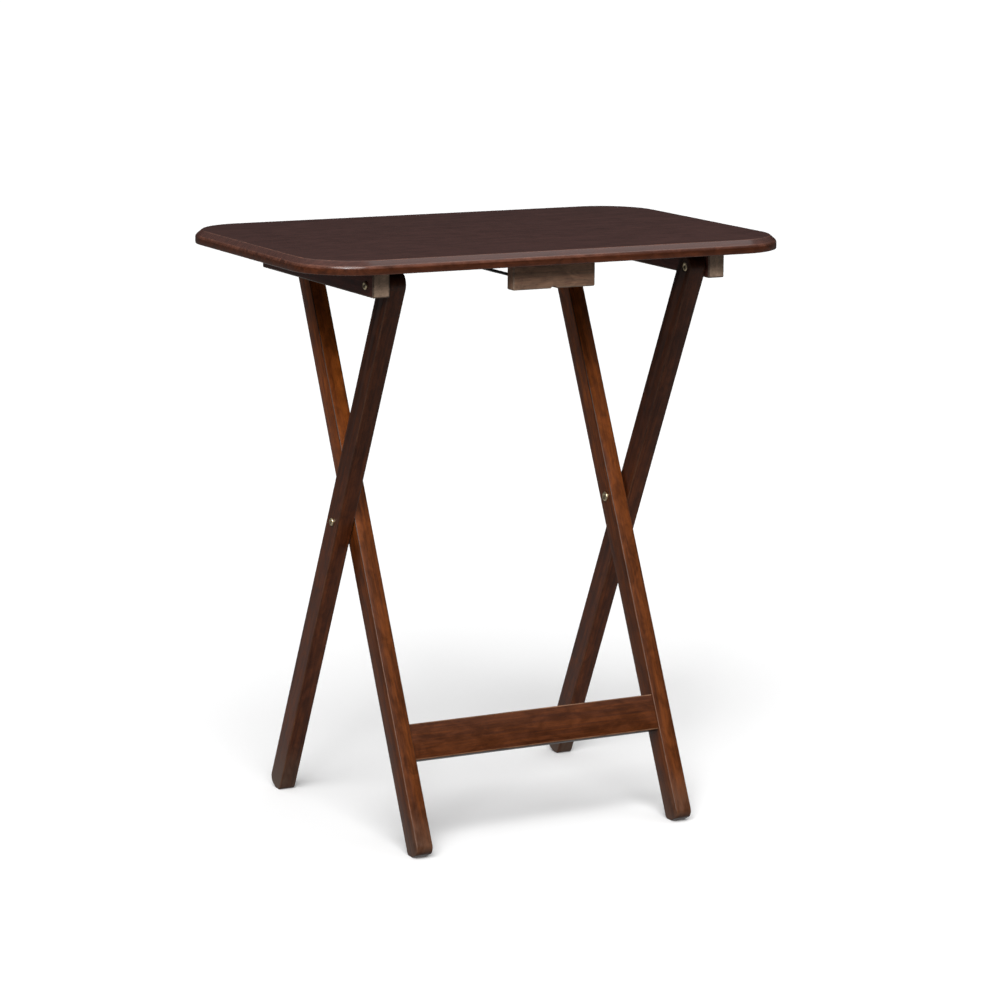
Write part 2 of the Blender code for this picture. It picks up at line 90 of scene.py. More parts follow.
def start_block(name, centre, size, turn=0.0):
    """A block of wood of that size, turned about X, ready to be worked."""
    deselect()
    bpy.ops.mesh.primitive_cube_add(size=1.0, location=centre, rotation=(turn, 0.0, 0.0))
    piece = bpy.context.object
    piece.scale = size
    bpy.ops.object.transform_apply(location=True, rotation=True, scale=True)
    piece.name = name
    return piece


def start_rod(name, centre, radius, length, axis, sides_round):
    """A round bar along X, Y or Z, ready to be worked."""
    deselect()
    turn = {"X": (0.0, pi / 2, 0.0), "Y": (pi / 2, 0.0, 0.0), "Z": (0.0, 0.0, 0.0)}[axis]
    bpy.ops.mesh.primitive_cylinder_add(
        vertices=sides_round, radius=radius, depth=length, location=centre, rotation=turn
    )
    bpy.ops.object.transform_apply(location=True, rotation=True, scale=True)
    bpy.context.object.name = name
    return bpy.context.object


def pick(piece, kind, test):
    """In edit mode, selects only the faces or edges that pass a test."""
    if piece.mode != "EDIT":
        take(piece)
        bpy.ops.object.mode_set(mode="EDIT")
    bpy.ops.mesh.select_mode(type="FACE" if kind == "faces" else "EDGE")
    bpy.ops.mesh.select_all(action="DESELECT")
    mesh = bmesh.from_edit_mesh(piece.data)
    for part in getattr(mesh, kind):
        part.select_set(bool(test(part)))
    mesh.select_flush_mode()
    bmesh.update_edit_mesh(piece.data)


def middle(edge):
    return (edge.verts[0].co + edge.verts[1].co) / 2


def runs_along(edge, way):
    return abs((edge.verts[1].co - edge.verts[0].co).normalized().dot(way)) > 0.999


def round_edges(piece, width, segments, angle=40, slot=0):
    """Rubs every sharp arris round. The new faces take the finish in that slot."""
    take(piece)
    bevel = piece.modifiers.new("Rubbed arrises", "BEVEL")
    bevel.width = width
    bevel.segments = segments
    bevel.limit_method = "ANGLE"
    bevel.angle_limit = radians(angle)
    bevel.use_clamp_overlap = False
    bevel.material = slot
    bpy.ops.object.modifier_apply(modifier=bevel.name)


def bore(piece, centre, radius, depth, axis):
    """Drills a hole through the piece, centred at a place."""
    drill = start_rod("drill", centre, radius, depth, axis, 32)
    take(piece)
    cut = piece.modifiers.new("Bore", "BOOLEAN")
    cut.operation = "DIFFERENCE"
    cut.solver = "EXACT"
    cut.object = drill
    bpy.ops.object.modifier_apply(modifier=cut.name)
    bpy.data.objects.remove(drill, do_unlink=True)


def finish_piece(piece, body, node, smooth=32):
    """Smooths the curved faces, then lets the piece ride and stand for its node."""
    take(piece)
    bpy.ops.object.shade_smooth_by_angle(angle=radians(smooth))
    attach(piece, body)
    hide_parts(node)
    deselect()


def joined(links, *steps):
    for out, into in steps:
        links.new(out, into)


def stained_wood(name, deep, warm, along, turn=0.0, streak=0.006, cloudy=0.35, matt=0.34,
                 coat=0.12, pores=0.45, seed=0.0, bump=0.22, sheen=0.25, floor_light_and_scuff=0.0, painted_shade_near_top=0.0):
    """Stained wood, its grain along an axis of the piece turned about X.

    deep and warm are the two tones of the grain, streak the width of a streak in metres, cloudy how far
    the stain blotches, coat the lacquer. The second last argument makes the wood paler and greyer near the
    floor in patches, partly painted light from the floor and partly scuffs. The last is painted shade that
    darkens it towards the table top, or painted light that lightens it there if it is negative.
    """
    wood = bpy.data.materials.new(name)
    wood.use_nodes = True
    tree = wood.node_tree
    new, links = tree.nodes.new, tree.links
    shader = tree.nodes["Principled BSDF"]
    place = new("ShaderNodeTexCoord")

    def laid(across, length):
        """Coordinates in the wood's own directions, stretched along the grain."""
        lay = new("ShaderNodeMapping")
        lay.vector_type = "TEXTURE"
        lay.inputs["Location"].default_value = (seed, seed * 0.7, seed * 1.3)
        lay.inputs["Rotation"].default_value = (turn, 0.0, 0.0)
        lay.inputs["Scale"].default_value = tuple(length if a == along else across for a in "XYZ")
        links.new(place.outputs["Object"], lay.inputs["Vector"])
        return lay.outputs["Vector"]

    def cloud(vector, detail, rough, twist=0.0):
        noise = new("ShaderNodeTexNoise")
        noise.inputs["Scale"].default_value = 1.0
        noise.inputs["Detail"].default_value = detail
        noise.inputs["Roughness"].default_value = rough
        noise.inputs["Distortion"].default_value = twist
        links.new(vector, noise.inputs["Vector"])
        return noise.outputs["Fac"]

    def ramp(value, low, high, start, end):
        band = new("ShaderNodeMapRange")
        band.interpolation_type = "SMOOTHSTEP"
        band.inputs["From Min"].default_value = low
        band.inputs["From Max"].default_value = high
        band.inputs["To Min"].default_value = start
        band.inputs["To Max"].default_value = end
        links.new(value, band.inputs["Value"])
        return band.outputs["Result"]

    def times(first, second):
        product = new("ShaderNodeMath")
        product.operation = "MULTIPLY"
        joined(links, (first, product.inputs[0]), (second, product.inputs[1]))
        return product.outputs["Value"]

    streaks = cloud(laid(streak, streak * 26), 5.0, 0.68, 0.9)
    fine = cloud(laid(streak * 0.22, streak * 9), 3.0, 0.65)
    patches = cloud(laid(0.011, 0.026), 6.0, 0.66, 0.8)
    short_pores = cloud(laid(0.00042, 0.0065), 2.0, 0.5)
    figure = new("ShaderNodeMix")
    figure.data_type = "RGBA"
    figure.inputs[6].default_value = (*deep, 1.0)
    figure.inputs[7].default_value = (*warm, 1.0)
    links.new(ramp(streaks, 0.32, 0.68, 0.0, 1.0), figure.inputs["Factor"])
    blotched = ramp(patches, 0.30, 0.70, 1.0 - cloudy, 1.0 + cloudy)
    shade = times(
        times(blotched, ramp(fine, 0.30, 0.72, 0.86, 1.12)),
        ramp(short_pores, 0.60, 0.72, 1.0, 1.0 - pores),
    )
    tint = new("ShaderNodeVectorMath")
    tint.operation = "SCALE"
    joined(links, (figure.outputs[2], tint.inputs[0]), (shade, tint.inputs["Scale"]))
    colour = tint.outputs["Vector"]
    if floor_light_and_scuff or painted_shade_near_top:
        levels = new("ShaderNodeSeparateXYZ")
        links.new(place.outputs["Object"], levels.inputs["Vector"])
        height = levels.outputs["Z"]
        # Painted shade by height: darker towards the table top, or painted light there where the value is
        # negative.
        painted_height_shade = new("ShaderNodeVectorMath")
        painted_height_shade.operation = "SCALE"
        joined(links, (colour, painted_height_shade.inputs[0]),
               (ramp(height, 0.26, 0.50, 1.0, 1.0 - painted_shade_near_top), painted_height_shade.inputs["Scale"]))
        # Paler, greyer colour near the floor, in patches: partly painted light from the floor, partly
        # scuffs.
        floor_light_scuff_mix = new("ShaderNodeMix")
        floor_light_scuff_mix.data_type = "RGBA"
        floor_light_scuff_mix.inputs[7].default_value = (0.112, 0.066, 0.043, 1.0)
        worn = times(ramp(height, 0.0, 0.070, floor_light_and_scuff, 0.0), ramp(patches, 0.35, 0.60, 0.45, 1.0))
        joined(links, (painted_height_shade.outputs["Vector"], floor_light_scuff_mix.inputs[6]), (worn, floor_light_scuff_mix.inputs["Factor"]))
        colour = floor_light_scuff_mix.outputs[2]
    links.new(colour, shader.inputs["Base Color"])
    links.new(ramp(patches, 0.3, 0.7, matt - 0.06, matt + 0.08), shader.inputs["Roughness"])
    rise = new("ShaderNodeBump")
    rise.inputs["Strength"].default_value = bump
    rise.inputs["Distance"].default_value = 0.0004
    joined(links, (times(fine, ramp(short_pores, 0.58, 0.74, 1.0, 0.35)), rise.inputs["Height"]),
           (rise.outputs["Normal"], shader.inputs["Normal"]))
    shader.inputs["Specular IOR Level"].default_value = sheen
    shader.inputs["Coat Weight"].default_value = coat
    shader.inputs["Coat Roughness"].default_value = 0.14
    shader.inputs["Coat IOR"].default_value = 1.4
    return wood


def leg_from(name, turn, holes):
    """Cuts one leg: block, round head, eased foot, trim at the floor, arrises, holes."""
    low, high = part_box(name)
    up = Vector((0.0, -sin(turn), cos(turn)))
    face_on = Vector((0.0, cos(turn), sin(turn)))
    head_z = high.z - half_width
    reach = (head_z - cross.z) / cos(turn)
    corner = (half_width - foot_round) * sin(abs(turn))
    drop = cross.z - corner + foot_round * cos(turn) - foot_round + foot_trim
    end = drop / cos(turn)
    top = reach + half_width
    centre = cross + up * ((top - end) / 2)
    centre.x = (low.x + high.x) / 2
    leg = start_block(name + "_wood", centre, (high.x - low.x, leg_width, top + end), turn)
    pick(leg, "edges", lambda e: runs_along(e, along_x) and (middle(e) - cross).dot(up) > reach)
    bpy.ops.mesh.bevel(offset=half_width - head_crown_flat, segments=20, affect="EDGES")
    pick(leg, "edges", lambda e: runs_along(e, along_x) and (middle(e) - cross).dot(up) < 0.0)
    bpy.ops.mesh.bevel(offset=foot_round, segments=9, affect="EDGES")
    pick(leg, "faces", lambda f: True)
    bpy.ops.mesh.bisect(plane_co=(0, 0, 0), plane_no=(0, 0, 1), use_fill=True, clear_inner=True)
    bpy.ops.object.mode_set(mode="OBJECT")
    leg.data.materials.append(leg_finish[name])
    leg.data.materials.append(leg_edge_wear_and_highlight[name.split("_")[0]])
    # A thin strip where the head starts to round over takes the lighter edge finish: a painted highlight
    # line.
    pick(leg, "faces", lambda f: f.normal.dot(face_on) < -0.99
         and reach < (f.calc_center_median() - cross).dot(up) < reach + painted_highlight_strip)
    leg.active_material_index = 1
    bpy.ops.object.material_slot_assign()
    bpy.ops.object.mode_set(mode="OBJECT")
    round_edges(leg, leg_arris, 3, slot=1)
    for where, radius, depth in holes:
        bore(leg, where, radius, depth, "X")
    return leg


leg_tones = {
    "outer": ((0.068, 0.0170, 0.0056), (0.128, 0.0340, 0.0092)),
    "inner": ((0.062, 0.0148, 0.0028), (0.124, 0.0310, 0.0044)),
}
leg_lean = {"outer": leg_tilt, "inner": -leg_tilt}
# Paler, greyer feet: partly painted light from the floor, partly scuffs.
leg_floor_light_and_scuff = {"outer": 1.0, "inner": 0.6}
# Painted shade near the top: the outer legs and their edges darken towards the table top; the negative
# value lightens the inner legs there as painted light.
leg_painted_shade_near_top = {"outer": 0.50, "inner": -1.8}
edge_painted_shade_near_top = {"outer": 0.45, "inner": 0.0}
leg_grain_seed = {"outer_leg_left": 0.87, "outer_leg_right": 1.77,
                  "inner_leg_left": 0.37, "inner_leg_right": 1.27}
leg_finish, leg_edge_wear_and_highlight = {}, {}
for pair, (deep, warm) in leg_tones.items():
    for side in sides:
        leg_finish[f"{pair}_leg_{side}"] = stained_wood(
            f"leg_stain_{pair}_{side}", deep, warm, "Z", leg_lean[pair],
            seed=leg_grain_seed[f"{pair}_leg_{side}"],
            floor_light_and_scuff=leg_floor_light_and_scuff[pair], painted_shade_near_top=leg_painted_shade_near_top[pair],
        )
    # The arrises' lighter finish is partly wear through the lacquer and partly a painted highlight line.
    leg_edge_wear_and_highlight[pair] = stained_wood(
        f"rubbed_leg_edge_{pair}", (0.070, 0.023, 0.009), (0.125, 0.047, 0.021), "Z", leg_lean[pair],
        seed=0.2, matt=0.36, cloudy=0.4, coat=0.08, floor_light_and_scuff=0.6, painted_shade_near_top=edge_painted_shade_near_top[pair],
    )
pin_bore = 0.0038
right_through = 0.06
nut_head_radius = 0.0055
head_clearance = 0.0003
head_sink = 0.0026
for side, sign in sides.items():
    low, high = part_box(f"outer_leg_{side}")
    inner_face = min(abs(low.x), abs(high.x)) * sign
    middle_x = (low.x + high.x) / 2
    leg = leg_from(f"outer_leg_{side}", leg_tilt, [
        ((middle_x, cross.y, cross.z), pin_bore, right_through),
        ((middle_x, top_pivot.y, top_pivot.z), pin_bore, right_through),
        ((inner_face, top_pivot.y, top_pivot.z), nut_head_radius + head_clearance, 2 * head_sink),
    ])
    finish_piece(leg, "outer_frame", f"outer_leg_{side}")

# ---- Inner legs ----
# The same stock, set between the outer legs and leaning the other way. Their rounded heads
# come up to the underside of the top at the back and carry it. Each has a blind hole for the
# steel cross rod near its head.

rod_low, rod_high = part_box("cross_rod")
rod_middle = (rod_low + rod_high) / 2
rod_socket_radius = 0.0038
rod_socket_depth = 0.010
# Painted light: the inner legs' stain is much lighter towards the top, lifting the shade under the top.
for side, sign in sides.items():
    low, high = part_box(f"inner_leg_{side}")
    inner_face = min(abs(low.x), abs(high.x)) * sign
    leg = leg_from(f"inner_leg_{side}", -leg_tilt, [
        ((inner_face, cross.y, cross.z), pin_bore, right_through),
        ((inner_face, rod_middle.y, rod_middle.z), rod_socket_radius, 2 * rod_socket_depth),
    ])
    finish_piece(leg, "inner_frame", f"inner_leg_{side}")

# ---- Foot stretcher and its dowels ----
# A flat rail dowelled and glued between the inner legs near the floor, nearly flush with
# their front faces. It keeps the two legs in step. The bare beech dowels are sealed inside.

rail_low, rail_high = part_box("foot_stretcher")
rail_thick, rail_deep = 0.014, 0.0405
rail_arris = 0.0013
dowel_hole_radius = 0.0033
hole_past_dowel = 0.0003
rail = start_block("foot_stretcher_wood", (rail_low + rail_high) / 2,
                   (rail_high.x - rail_low.x, rail_thick, rail_deep), -leg_tilt)
rail.data.materials.append(stained_wood(
    "stretcher_stain", (0.048, 0.0112, 0.0022), (0.086, 0.0210, 0.0034), "X", -leg_tilt,
    seed=1.9, streak=0.005, cloudy=0.3))
# Its arrises take a lighter finish: partly wear, partly a painted highlight line.
rail.data.materials.append(stained_wood(
    "rubbed_stretcher_edge", (0.11, 0.048, 0.024), (0.22, 0.110, 0.060), "X", -leg_tilt,
    seed=0.4, matt=0.3))
pick(rail, "edges", lambda e: runs_along(e, along_x))
bpy.ops.mesh.bevel(offset=rail_arris, segments=3, affect="EDGES", material=1)
bpy.ops.object.mode_set(mode="OBJECT")
dowel_beech = stained_wood("bare_beech", (0.42, 0.28, 0.15), (0.62, 0.44, 0.27), "X",
                           streak=0.003, cloudy=0.1, matt=0.7, coat=0.0, pores=0.25)
for side in sides:
    for level in ("upper", "lower"):
        peg = nodes[f"stretcher_dowel_{side}_{level}"]
        peg_low, peg_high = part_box(f"stretcher_dowel_{side}_{level}")
        hole = peg_high.x - peg_low.x + 2 * hole_past_dowel
        for member in (rail, bpy.data.objects[f"inner_leg_{side}_wood"]):
            bore(member, (peg_low + peg_high) / 2, dowel_hole_radius, hole, "X")
        peg.data.materials.clear()
        peg.data.materials.append(dowel_beech)
finish_piece(rail, "inner_frame", "foot_stretcher")

# ---- Cross rod and stay wire ----
# A black steel rod between the inner legs, and a stiff black wire bent to a long U. The wire
# is set into the back of the front block, runs back under the top, passes over the rod and
# turns down behind it, so that the open legs can't spread.


def metal(name, colour, worn, matt, mottle_scale, coat=0.0, metallic=1.0):
    """A plated, painted or moulded finish with a fine mottle and a little wear."""
    finish = bpy.data.materials.new(name)
    finish.use_nodes = True
    tree = finish.node_tree
    new, links = tree.nodes.new, tree.links
    shader = tree.nodes["Principled BSDF"]
    place = new("ShaderNodeTexCoord")
    speckle = new("ShaderNodeTexNoise")
    speckle.inputs["Scale"].default_value = mottle_scale
    speckle.inputs["Detail"].default_value = 4.0
    tone = new("ShaderNodeValToRGB")
    tone.color_ramp.elements[0].position = 0.42
    tone.color_ramp.elements[0].color = (*colour, 1.0)
    tone.color_ramp.elements[1].position = 0.72
    tone.color_ramp.elements[1].color = (*worn, 1.0)
    dull = new("ShaderNodeMapRange")
    dull.inputs["To Min"].default_value = matt - 0.08
    dull.inputs["To Max"].default_value = matt + 0.12
    rise = new("ShaderNodeBump")
    rise.inputs["Strength"].default_value = 0.12
    rise.inputs["Distance"].default_value = 0.0002
    mottle = speckle.outputs["Fac"]
    joined(links, (place.outputs["Object"], speckle.inputs["Vector"]),
           (mottle, tone.inputs["Fac"]), (tone.outputs["Color"], shader.inputs["Base Color"]),
           (mottle, dull.inputs["Value"]), (dull.outputs["Result"], shader.inputs["Roughness"]),
           (mottle, rise.inputs["Height"]), (rise.outputs["Normal"], shader.inputs["Normal"]))
    shader.inputs["Metallic"].default_value = metallic
    shader.inputs["Coat Weight"].default_value = coat
    return finish


black_steel = metal("black_steel", (0.010, 0.010, 0.011), (0.030, 0.028, 0.027), 0.38, 700.0,
                    coat=0.2, metallic=0.3)
rod_arris = 0.0006
rod = start_rod("cross_rod_steel", rod_middle, (rod_high.z - rod_low.z) / 2,
                rod_high.x - rod_low.x, "X", 36)
rod.data.materials.append(black_steel)
round_edges(rod, rod_arris, 3)
finish_piece(rod, "inner_frame", "cross_rod")

wire_low, wire_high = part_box("stay_wire")
wire_radius = 0.00175
wire_bend = 0.0042
rod_radius = 0.0035
gap_over_rod = 0.0015
wire_x = wire_high.x - wire_radius
wire_start = wire_low.y
wire_level = wire_high.z - wire_radius
hook_y = wire_high.y - wire_radius
over_rod = rod_middle.z + rod_radius + wire_radius + gap_over_rod
hook_bottom = wire_low.z + wire_radius
slope_start = 0.030
deselect()
bpy.ops.mesh.primitive_plane_add(size=0.01, location=(-wire_x, wire_start, wire_level))
wire = bpy.context.object
wire.name = "stay_wire_steel"
bpy.ops.object.transform_apply(location=True, rotation=True, scale=True)
bpy.ops.object.mode_set(mode="EDIT")
bpy.ops.mesh.select_mode(type="VERT")
bpy.ops.mesh.select_all(action="SELECT")
bpy.ops.mesh.merge(type="CENTER")
corners = [(-wire_x, wire_start, wire_level), (-wire_x, slope_start, wire_level),
           (-wire_x, hook_y, over_rod), (-wire_x, hook_y, hook_bottom)]
corners += [(-x, y, z) for x, y, z in reversed(corners)]
for before, after in zip(corners, corners[1:]):
    step = Vector(after) - Vector(before)
    bpy.ops.mesh.extrude_region_move(TRANSFORM_OT_translate={"value": step})
bends = bmesh.from_edit_mesh(wire.data)
for vert in bends.verts:
    vert.select_set(len(vert.link_edges) == 2)
bmesh.update_edit_mesh(wire.data)
bpy.ops.mesh.bevel(offset=wire_bend, segments=8, affect="VERTICES")
bpy.ops.object.mode_set(mode="OBJECT")
bpy.ops.object.convert(target="CURVE")
wire.data.bevel_depth = wire_radius
wire.data.bevel_resolution = 6
wire.data.use_fill_caps = True
bpy.ops.object.convert(target="MESH")
wire = bpy.context.object
bpy.ops.object.mode_set(mode="EDIT")
bpy.ops.mesh.select_all(action="SELECT")
bpy.ops.mesh.remove_doubles(threshold=0.00001)
bpy.ops.mesh.normals_make_consistent(inside=False)
bpy.ops.object.mode_set(mode="OBJECT")
wire.data.materials.clear()
wire.data.materials.append(black_steel)
finish_piece(wire, "top", "stay_wire", smooth=40)

# ---- Pivot bolts, sleeve nuts and washers ----
# Brass-plated furniture connectors. A domed bolt goes in from outside and screws into a
# sleeve nut from inside. Both heads have a round driver recess. A nylon washer in each gap
# keeps the wood from rubbing.

brass = metal("brass_plate", (0.90, 0.76, 0.50), (0.56, 0.42, 0.24), 0.32, 1100.0)
# Painted shade: the driver recesses are finished near-black for the shade in the hollow.
recess_painted_shade = metal("recess_grime", (0.030, 0.020, 0.014), (0.012, 0.009, 0.007), 0.6, 1500.0,
                    metallic=0.4)
head_high, head_dome = 0.0020, 0.0015
recess_from_axis, recess_deep = 0.0034, 0.0010
recess_lip, recess_lip_drop = 0.0003, 0.0002
bolt_stem_radius = 0.0023
nut_barrel_radius, nut_hollow_radius, nut_floor = 0.0035, 0.0026, 0.003
washer_arris = 0.0002


def connector(name, node, out, stem_radius, hollow_radius=0.0):
    """A turned head with a recess and a stem, bored hollow if it is given a radius for that.

    out is the way the head faces along X.
    """
    low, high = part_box(node)
    y, z = (low.y + high.y) / 2, (low.z + high.z) / 2
    face = high.x if out > 0 else low.x
    tail = low.x if out > 0 else high.x
    head_radius = (high.z - low.z) / 2
    seat = face - out * head_high
    piece = start_rod(name, ((face + seat) / 2, y, z), head_radius, head_high, "X", 48)
    way = out * along_x
    piece.data.materials.append(brass)
    piece.data.materials.append(recess_painted_shade)
    pick(piece, "edges", lambda e: abs(middle(e).x - face) < 1e-5)
    bpy.ops.mesh.bevel(offset=head_dome, segments=7, affect="EDGES")
    pick(piece, "faces", lambda f: f.normal.dot(way) > 0.999)
    bpy.ops.mesh.inset(thickness=head_radius - recess_from_axis)
    bpy.ops.mesh.inset(thickness=recess_lip, depth=-recess_lip_drop)
    bpy.ops.mesh.extrude_region_move(TRANSFORM_OT_translate={"value": -way * recess_deep})
    # The recess takes the near-black painted-shade finish.
    piece.active_material_index = 1
    bpy.ops.object.material_slot_assign()
    pick(piece, "faces", lambda f: f.normal.dot(way) < -0.999)
    bpy.ops.mesh.inset(thickness=head_radius - stem_radius)
    stem = abs(seat - tail)
    bpy.ops.mesh.extrude_region_move(TRANSFORM_OT_translate={"value": -way * stem})
    if hollow_radius:
        bpy.ops.mesh.inset(thickness=stem_radius - hollow_radius)
        hollow = way * (stem - nut_floor)
        bpy.ops.mesh.extrude_region_move(TRANSFORM_OT_translate={"value": hollow})
    bpy.ops.object.mode_set(mode="OBJECT")
    finish_piece(piece, "outer_frame", node, smooth=50)


nylon = metal("dark_nylon", (0.028, 0.027, 0.027), (0.045, 0.043, 0.042), 0.5, 500.0, metallic=0.0)
for pivot in ("cross", "top_pivot"):
    for side, sign in sides.items():
        bolt, nut, washer = (f"{pivot}_{kind}_{side}" for kind in ("bolt", "sleeve_nut", "washer"))
        connector(bolt + "_brass", bolt, sign, bolt_stem_radius)
        connector(nut + "_brass", nut, -sign, nut_barrel_radius, nut_hollow_radius)
        low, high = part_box(washer)
        centre = (low + high) / 2
        ring = start_rod(washer + "_nylon", centre, (high.z - low.z) / 2, high.x - low.x, "X", 48)
        ring.data.materials.append(nylon)
        bore(ring, centre, pin_bore, right_through, "X")
        round_edges(ring, washer_arris, 2)
        finish_piece(ring, "outer_frame", washer)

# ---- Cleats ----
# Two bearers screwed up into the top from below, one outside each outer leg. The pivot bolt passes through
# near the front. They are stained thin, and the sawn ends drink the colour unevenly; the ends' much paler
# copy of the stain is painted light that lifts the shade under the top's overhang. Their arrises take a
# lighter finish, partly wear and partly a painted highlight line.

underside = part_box("tabletop")[0].z
cleat_arris = 0.0016
screw_hole_radius = 0.0021
screw_head_hole_radius = 0.0041
head_hole_past_head = 0.0029
cleat_stain = stained_wood("cleat_stain", (0.085, 0.0270, 0.0195), (0.140, 0.0460, 0.0330), "Y",
                           streak=0.005, matt=0.5, coat=0.02, sheen=0.2, seed=2.3)
cleat_edge = stained_wood("cleat_edge", (0.12, 0.080, 0.058), (0.24, 0.165, 0.120), "Y",
                          matt=0.5, coat=0.06, seed=2.3)
# Painted light: the sawn ends get a much paler copy of the stain against the shade under the top.
cleat_end_painted_light = stained_wood("cleat_sawn_end", (0.36, 0.245, 0.172), (0.50, 0.345, 0.245), "Y",
                         streak=0.0022, matt=0.7, coat=0.0, pores=0.5, cloudy=0.22, seed=3.1)


def screw_holes(piece, base, screws):
    """Drills a hole up through the piece for each screw, and widens its mouth for the head."""
    for node in screws:
        low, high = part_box(node)
        x, y = (low.x + high.x) / 2, (low.y + high.y) / 2
        head_hole = low.z - base + head_hole_past_head
        bore(piece, (x, y, (base + underside) / 2), screw_hole_radius, right_through, "Z")
        bore(piece, (x, y, base), screw_head_hole_radius, 2 * head_hole, "Z")


for side in sides:
    low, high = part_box(f"cleat_{side}")
    cleat = start_block(f"cleat_{side}_wood", (low + high) / 2, high - low)
    for finish in (cleat_stain, cleat_edge, cleat_end_painted_light):
        cleat.data.materials.append(finish)
    pick(cleat, "faces", lambda f: abs(f.normal.y) > 0.9)
    cleat.active_material_index = 2
    bpy.ops.object.material_slot_assign()
    bpy.ops.object.mode_set(mode="OBJECT")
    round_edges(cleat, cleat_arris, 4, slot=1)
    middle_x = (low.x + high.x) / 2
    bore(cleat, (middle_x, top_pivot.y, top_pivot.z), pin_bore, right_through, "X")
    screw_holes(cleat, low.z, [f"cleat_screw_{side}_{end}" for end in ("front", "back")])
    finish_piece(cleat, "top", f"cleat_{side}")

# ---- Front block ----
# A short block screwed under the front edge, holding the two ends of the stay wire in its back. It has a
# shallow round groove across its lower edge. It got one thin coat of stain, so its grey-green timber shows
# through in places. Its pale tone is partly that thin stain and partly painted light that lifts the shade
# under the top's overhang, and its arrises take a lighter finish, partly wear and partly a painted
# highlight line.

block_arris = 0.0016
groove_radius, groove_deep = 0.0042, 0.0030
wire_socket_radius, wire_socket_deep = wire_radius + 0.0003, 0.0103
low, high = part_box("front_block")
block = start_block("front_block_wood", (low + high) / 2, high - low)
# Partly painted light: the stain is made paler to lift the shade under the top's overhang; the arrises'
# lighter finish is partly wear, partly a painted highlight.
block.data.materials.append(stained_wood(
    "block_stain", (0.255, 0.158, 0.104), (0.370, 0.200, 0.126), "X",
    streak=0.004, matt=0.6, coat=0.03, pores=0.5, cloudy=0.28, seed=4.4))
block.data.materials.append(stained_wood(
    "block_edge", (0.20, 0.135, 0.095), (0.34, 0.23, 0.165), "X", matt=0.6, coat=0.05, seed=4.4))
round_edges(block, block_arris, 3, slot=1)
groove_middle = (0.0, (low.y + high.y) / 2, low.z - groove_radius + groove_deep)
bore(block, groove_middle, groove_radius, right_through, "Y")
for sign in sides.values():
    socket_mouth = (sign * wire_x, high.y, wire_level)
    bore(block, socket_mouth, wire_socket_radius, 2 * wire_socket_deep, "Y")
screw_holes(block, low.z, ["block_screw_left", "block_screw_right"])
finish_piece(block, "top", "front_block")

# ---- Screws ----
# Countersunk zinc-plated screws with a cross recess, driven up through the cleats and the
# block into the top.

zinc = metal("zinc_plate", (0.46, 0.46, 0.45), (0.30, 0.29, 0.26), 0.36, 1300.0)
screw_nodes = [f"cleat_screw_{side}_{end}" for side in sides for end in ("front", "back")]
screw_nodes += [f"block_screw_{side}" for side in sides]
low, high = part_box(screw_nodes[0])
pattern_at = Vector(((low.x + high.x) / 2, (low.y + high.y) / 2, low.z))
screw_length = high.z - low.z
head_radius, head_rim, head_taper = 0.0038, 0.0004, 0.0022
shank_radius = point_length = 0.0018
shank_length = screw_length - head_rim - head_taper - point_length
pattern = start_rod("screw_pattern", pattern_at + upright * (head_rim / 2), head_radius, head_rim, "Z", 32)
pick(pattern, "faces", lambda f: f.normal.z > 0.9)
neck_share, tip_share = shank_radius / head_radius, 0.12
for rise, narrowing in ((head_taper, neck_share), (shank_length, 1.0), (point_length, tip_share)):
    bpy.ops.mesh.extrude_region_move(TRANSFORM_OT_translate={"value": upright * rise})
    bpy.ops.transform.resize(value=(narrowing, narrowing, 1.0), center_override=pattern_at)
bpy.ops.object.mode_set(mode="OBJECT")
pattern.data.materials.append(zinc)
slot_long, slot_wide, slot_deep = 0.0040, 0.0009, 0.0014
for size in ((slot_long, slot_wide, 2 * slot_deep), (slot_wide, slot_long, 2 * slot_deep)):
    driver = start_block("driver", pattern_at, size)
    take(pattern)
    cut = pattern.modifiers.new("Recess", "BOOLEAN")
    cut.solver = "EXACT"
    cut.object = driver
    bpy.ops.object.modifier_apply(modifier=cut.name)
    bpy.data.objects.remove(driver, do_unlink=True)
for node in screw_nodes:
    low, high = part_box(node)
    place = Vector(((low.x + high.x) / 2, (low.y + high.y) / 2, low.z))
    screw = pattern.copy()
    screw.data = pattern.data.copy()
    bpy.context.scene.collection.objects.link(screw)
    screw.name = node + "_zinc"
    screw.data.transform(Matrix.Translation(place - pattern_at))
    finish_piece(screw, "top", node)
bpy.data.objects.remove(pattern, do_unlink=True)

# ---- Tabletop ----
# A board with wide rounded corners. Its top edge is planed to a broad chamfer and the lower arris is taken
# off. It is stained a dark espresso and lacquered satin, and the colour is thinnest on the front edge and
# the chamfer. The arrises take a lighter finish, partly wear and partly a painted highlight line.

